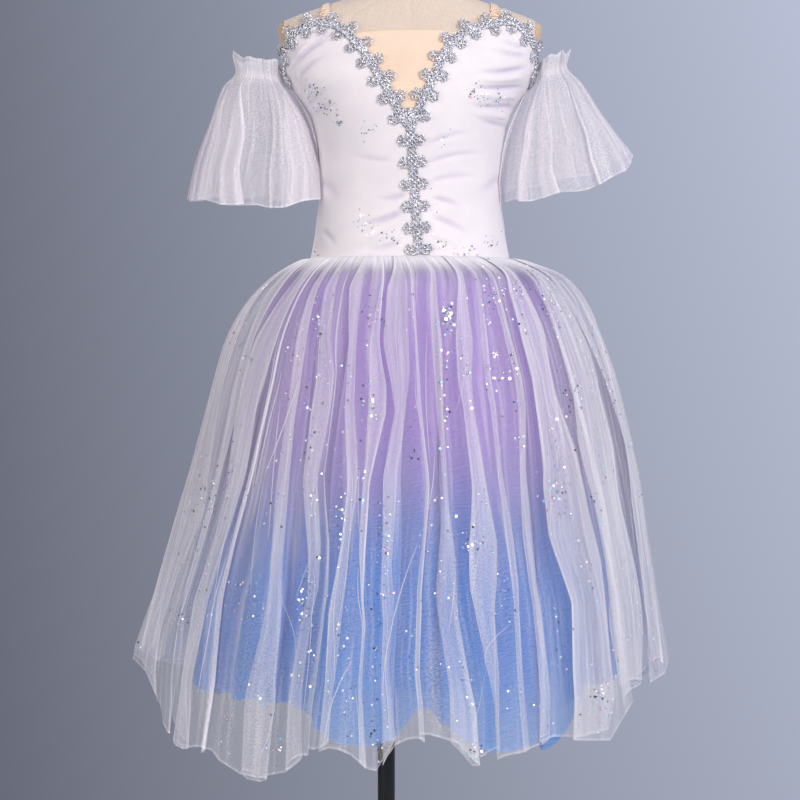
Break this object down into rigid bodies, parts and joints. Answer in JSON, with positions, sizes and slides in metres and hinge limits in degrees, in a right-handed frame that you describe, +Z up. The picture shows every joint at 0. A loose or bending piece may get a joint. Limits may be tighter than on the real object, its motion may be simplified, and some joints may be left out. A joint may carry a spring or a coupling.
{
  "type": "ballet dress on a dress form",
  "caption": "Child's long ballet dress with a fitted bodice, off-shoulder sleeves and a gathered two-layer net skirt, on a limbless dress form with a stand.",
  "frame": {"origin": "middle of the base plate's underside, on the floor", "axes": "+Z up along the stand, the dress's front faces -Y, and +X is to the viewer's right"},
  "size_m": [0.589, 0.5321, 1.162],
  "materials": {
    "linen": "plain woven natural linen cover",
    "wood": "satin varnished wood",
    "black_metal": "black satin paint on steel",
    "bodice_knit": "very pale lilac stretch knit with a soft sheen",
    "nude_mesh": "smooth skin-tone power mesh",
    "silver_trim": "silver metallic gimp lace with sparkling thread",
    "white_net": "sheer white glitter net with sequins",
    "ombre_net": "soft net dyed from white at the waist through lilac to blue"
  },
  "bodies": {
    "root": {"form_torso": "linen", "form_cap": "wood", "form_socket": "black_metal", "stand_pole": "black_metal", "stand_collar": "black_metal", "stand_base": "black_metal", "bodice_front": "bodice_knit", "bodice_back": "bodice_knit", "neck_insert": "nude_mesh", "strap_left": "nude_mesh", "strap_right": "nude_mesh", "trim_left": "silver_trim", "trim_right": "silver_trim", "trim_centre": "silver_trim", "sleeve_left": "white_net", "sleeve_right": "white_net", "skirt_ombre": "ombre_net", "skirt_glitter": "white_net"}
  },
  "joints": []
}
